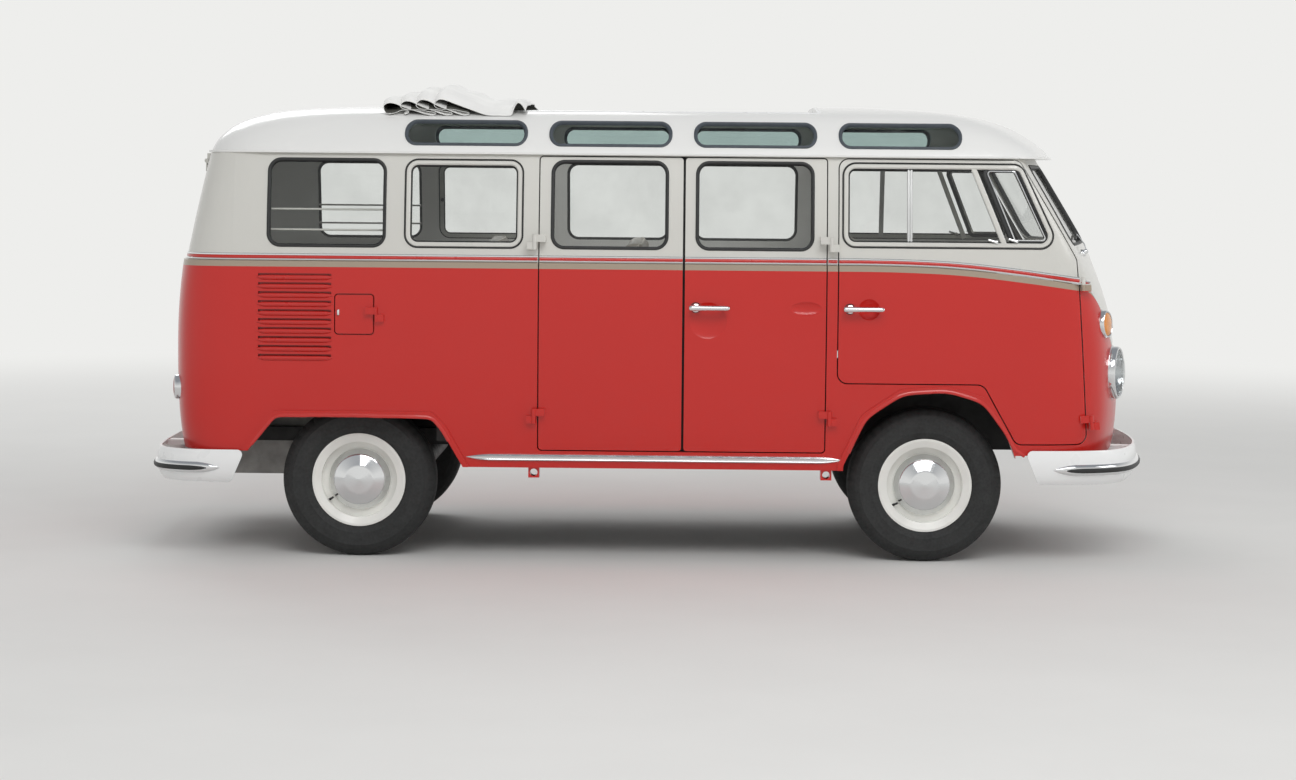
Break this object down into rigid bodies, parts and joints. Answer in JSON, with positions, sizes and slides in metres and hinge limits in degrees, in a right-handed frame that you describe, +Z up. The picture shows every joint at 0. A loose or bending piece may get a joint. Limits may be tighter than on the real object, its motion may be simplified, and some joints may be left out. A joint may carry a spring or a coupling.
{
  "type": "passenger minibus",
  "caption": "Classic forward-control passenger minibus with windows all round, roof skylights, hinged side doors and a folded-back canvas roof, standing on its wheels.",
  "frame": {"origin": "on the ground below the middle of the vehicle's box", "axes": "+X to the front, +Y to the vehicle's left, +Z up"},
  "size_m": [4.275, 1.8086, 2],
  "materials": {
    "body_paint": "gloss",
    "roof_paint": "gloss",
    "clear_glass": "polished",
    "roof_glass": "polished",
    "lamp_glass": "polished",
    "lamp_plastic": "gloss",
    "canvas": "woven",
    "chassis_paint": "satin",
    "wheel_paint": "gloss",
    "tyre": "matte",
    "cast_iron": "rough",
    "engine_metal": "cast",
    "muffler_metal": "matte",
    "bumper_paint": "gloss",
    "seat_cover": "grained",
    "cabin_paint": "satin",
    "steering_plastic": "gloss"
  },
  "bodies": {
    "van": {"front_panel": "body_paint", "front_lamps": "lamp_glass", "windscreen": "clear_glass", "side_panel_left": "body_paint", "side_panel_right": "body_paint", "side_glass_left": "clear_glass", "side_glass_right": "clear_glass", "rear_panel": "body_paint", "tail_lamps": "lamp_plastic", "roof_panel": "roof_paint", "roof_glass": "roof_glass", "roof_canvas": "canvas", "floor_pan": "chassis_paint", "front_axle": "chassis_paint", "rear_axle": "chassis_paint", "engine": "engine_metal", "muffler": "muffler_metal", "bumper_front": "bumper_paint", "bumper_rear": "bumper_paint", "front_seats": "seat_cover", "middle_bench": "seat_cover", "rear_bench": "seat_cover", "seat_frames": "cabin_paint", "dashboard": "cabin_paint", "steering_column": "cabin_paint"},
    "front_door_left": {"front_door_left": "body_paint", "front_door_left_glass": "clear_glass"},
    "front_door_right": {"front_door_right": "body_paint", "front_door_right_glass": "clear_glass"},
    "cargo_door_rear": {"cargo_door_rear": "body_paint", "cargo_door_rear_glass": "clear_glass"},
    "cargo_door_front": {"cargo_door_front": "body_paint", "cargo_door_front_glass": "clear_glass"},
    "tailgate": {"tailgate": "body_paint", "tailgate_glass": "clear_glass"},
    "engine_lid": {"engine_lid": "body_paint"},
    "fuel_flap": {"fuel_flap": "body_paint"},
    "knuckle_left": {"knuckle_left": "cast_iron"},
    "knuckle_right": {"knuckle_right": "cast_iron"},
    "front_left_wheel": {"wheel_front_left": "wheel_paint", "tyre_front_left": "tyre"},
    "front_right_wheel": {"wheel_front_right": "wheel_paint", "tyre_front_right": "tyre"},
    "rear_left_wheel": {"wheel_rear_left": "wheel_paint", "tyre_rear_left": "tyre"},
    "rear_right_wheel": {"wheel_rear_right": "wheel_paint", "tyre_rear_right": "tyre"},
    "steering_wheel": {"steering_wheel": "steering_plastic"}
  },
  "joints": [
    {"name": "front_door_left_hinge", "type": "hinge", "parent": "van", "child": "front_door_left", "pos_m": [1.85, 0.82164, 0.605], "axis": [0.0806, 0, -0.9967], "range_deg": [0, 70]},
    {"name": "front_door_right_hinge", "type": "hinge", "parent": "van", "child": "front_door_right", "pos_m": [1.85, -0.82164, 0.605], "axis": [-0.0806, 0, 0.9967], "range_deg": [0, 70]},
    {"name": "cargo_door_rear_hinge", "type": "hinge", "parent": "van", "child": "cargo_door_rear", "pos_m": [-0.493, -0.874, 0.98], "axis": [0, 0, -1], "range_deg": [0, 90]},
    {"name": "cargo_door_front_hinge", "type": "hinge", "parent": "van", "child": "cargo_door_front", "pos_m": [0.746, -0.874, 0.98], "axis": [0, 0, 1], "range_deg": [0, 90]},
    {"name": "tailgate_hinge", "type": "hinge", "parent": "van", "child": "tailgate", "pos_m": [-1.93697, 0, 1.672], "axis": [0, 1, 0], "range_deg": [0, 80]},
    {"name": "engine_lid_hinge", "type": "hinge", "parent": "van", "child": "engine_lid", "pos_m": [-2.06342, 0, 0.874], "axis": [0, 1, 0], "range_deg": [0, 85]},
    {"name": "fuel_flap_hinge", "type": "hinge", "parent": "van", "child": "fuel_flap", "pos_m": [-1.155, -0.874, 1.0345], "axis": [0, 0, 1], "range_deg": [0, 100]},
    {"name": "steer_left", "type": "hinge", "parent": "van", "child": "knuckle_left", "pos_m": [1.16, 0.57, 0.326], "axis": [0, 0, 1], "range_deg": [-25, 25]},
    {"name": "steer_right", "type": "hinge", "parent": "van", "child": "knuckle_right", "pos_m": [1.16, -0.57, 0.326], "axis": [0, 0, 1], "range_deg": [-25, 25]},
    {"name": "front_left_spin", "type": "hinge", "parent": "knuckle_left", "child": "front_left_wheel", "pos_m": [1.16, 0.6875, 0.326], "axis": [0, 1, 0], "continuous": true},
    {"name": "front_right_spin", "type": "hinge", "parent": "knuckle_right", "child": "front_right_wheel", "pos_m": [1.16, -0.6875, 0.326], "axis": [0, 1, 0], "continuous": true},
    {"name": "rear_left_spin", "type": "hinge", "parent": "van", "child": "rear_left_wheel", "pos_m": [-1.24, 0.68, 0.326], "axis": [0, 1, 0], "continuous": true},
    {"name": "rear_right_spin", "type": "hinge", "parent": "van", "child": "rear_right_wheel", "pos_m": [-1.24, -0.68, 0.326], "axis": [0, 1, 0], "continuous": true},
    {"name": "steering_wheel_turn", "type": "hinge", "parent": "van", "child": "steering_wheel", "pos_m": [1.38, 0.385, 1.225], "axis": [-0.3504, 0, 0.9366], "range_deg": [-350, 350]}
  ],
  "couplings": [
    {"joint": "steer_right", "follows": "steer_left", "ratio": 1},
    {"joint": "steering_wheel_turn", "follows": "steer_left", "ratio": 14}
  ]
}
